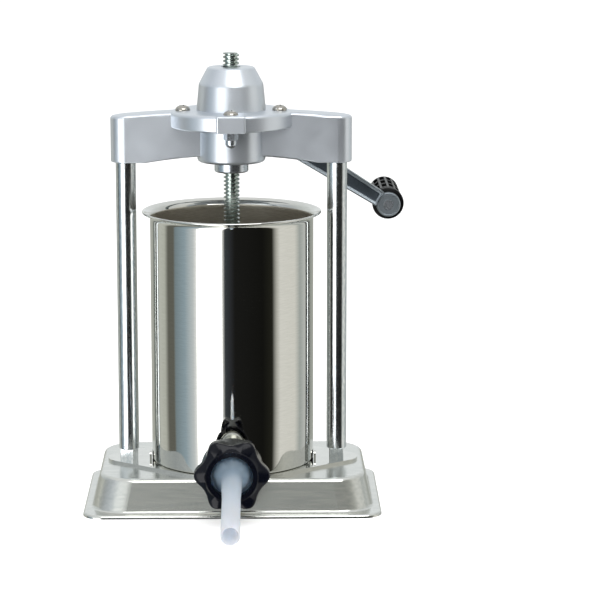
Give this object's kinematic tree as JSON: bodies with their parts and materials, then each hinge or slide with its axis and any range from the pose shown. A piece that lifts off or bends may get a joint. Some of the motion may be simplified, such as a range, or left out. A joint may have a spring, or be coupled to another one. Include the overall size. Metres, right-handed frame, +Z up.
{
  "type": "sausage stuffer",
  "caption": "Hand-cranked vertical sausage stuffer: steel cylinder between two columns, geared screw-driven piston, side crank and a stuffing tube held by a lobed knob.",
  "frame": {"origin": "on the table, under the axis of the cylinder and lead screw", "axes": "+Z up; the outlet and stuffing tube point along -Y, the crank shaft leaves along +Y, the crank arm at rest points to +X and down"},
  "size_m": [0.2594, 0.4336, 0.3575],
  "materials": {
    "polished_stainless": "polished stainless steel sheet",
    "zinc_steel": "zinc plated steel",
    "chrome": "bright chrome plate on steel",
    "natural_polyethylene": "translucent natural polyethylene",
    "black_gloss_plastic": "glossy moulded black plastic",
    "black_grip_plastic": "moulded black plastic",
    "cast_aluminium": "satin die-cast aluminium",
    "crank_aluminium": "darker die-cast aluminium",
    "nickel_steel": "nickel plated steel",
    "dark_steel": "black oxide steel",
    "bronze": "bearing bronze",
    "bearing_steel": "ground bearing steel",
    "gear_steel": "machined steel",
    "white_plastic": "white food-grade plastic",
    "seal_rubber": "silicone rubber"
  },
  "bodies": {
    "frame": {"base_tray": "polished_stainless", "base_stiffener": "zinc_steel", "base_washers": "zinc_steel", "base_nuts": "zinc_steel", "cylinder_seat": "polished_stainless", "column_left": "chrome", "column_right": "chrome", "cylinder": "polished_stainless", "outlet_spout": "polished_stainless", "head_body": "cast_aluminium", "head_cover": "cast_aluminium", "cover_screws": "nickel_steel", "front_cap_nut": "nickel_steel", "column_set_screws": "dark_steel", "lower_bush": "cast_aluminium", "lower_race_fixed": "bearing_steel", "lower_balls": "bearing_steel", "upper_balls": "bearing_steel", "upper_race_fixed": "bearing_steel", "shaft_bush_inner": "bronze", "shaft_bush_outer": "bronze"},
    "gear_and_nut": {"lower_race_turning": "bearing_steel", "drive_gear": "gear_steel", "drive_nut": "bronze", "drive_nut_key": "gear_steel", "upper_race_turning": "bearing_steel"},
    "crank": {"pinion": "gear_steel", "pinion_pin": "gear_steel", "crank_shaft": "zinc_steel", "shaft_circlip": "dark_steel", "crank_arm": "crank_aluminium", "crank_washer": "zinc_steel", "crank_screw": "nickel_steel", "grip_axle": "zinc_steel"},
    "handle_grip": {"grip": "black_grip_plastic", "grip_cap": "black_grip_plastic"},
    "screw_and_piston": {"lead_screw": "zinc_steel", "piston_plate": "white_plastic", "piston_seal": "seal_rubber", "piston_nut": "zinc_steel", "piston_jam_nut": "zinc_steel", "vent_spring": "zinc_steel"},
    "vent": {"vent_valve": "white_plastic"},
    "tube": {"stuffing_tube": "natural_polyethylene"},
    "knob": {"retaining_knob": "black_gloss_plastic"}
  },
  "joints": [
    {"name": "crank_turn", "type": "hinge", "parent": "frame", "child": "crank", "pos_m": [0, 0.08, 0.3055], "axis": [0, -1, 0], "range_deg": [-1587, 45354]},
    {"name": "gear_turn", "type": "hinge", "parent": "frame", "child": "gear_and_nut", "pos_m": [0, 0, 0.29], "axis": [0, 0, 1], "range_deg": [-22678, 794.5]},
    {"name": "screw_travel", "type": "slide", "parent": "frame", "child": "screw_and_piston", "axis": [0, 0, 1], "range_m": [-0.007, 0.2]},
    {"name": "grip_turn", "type": "hinge", "parent": "crank", "child": "handle_grip", "pos_m": [0.1289, 0.12, 0.22495], "axis": [0, -1, 0], "continuous": true},
    {"name": "tube_release", "type": "slide", "parent": "frame", "child": "tube", "axis": [0, -1, 0], "range_m": [0, 0.0121]},
    {"name": "knob_turn", "type": "hinge", "parent": "tube", "child": "knob", "pos_m": [0, -0.099, 0.0425], "axis": [0, -1, 0], "range_deg": [0, 1440]},
    {"name": "vent_press", "type": "slide", "parent": "screw_and_piston", "child": "vent", "axis": [0, 0, -1], "range_m": [0, 0.003], "stiffness_N_per_m": 60, "springref_m": -0.002, "deforming": ["vent_spring"]}
  ],
  "couplings": [
    {"joint": "gear_turn", "follows": "crank_turn", "ratio": -0.5},
    {"joint": "screw_travel", "follows": "crank_turn", "m_per_rad": 0.00025266},
    {"joint": "tube_release", "follows": "knob_turn", "m_per_rad": 0.00047746}
  ]
}
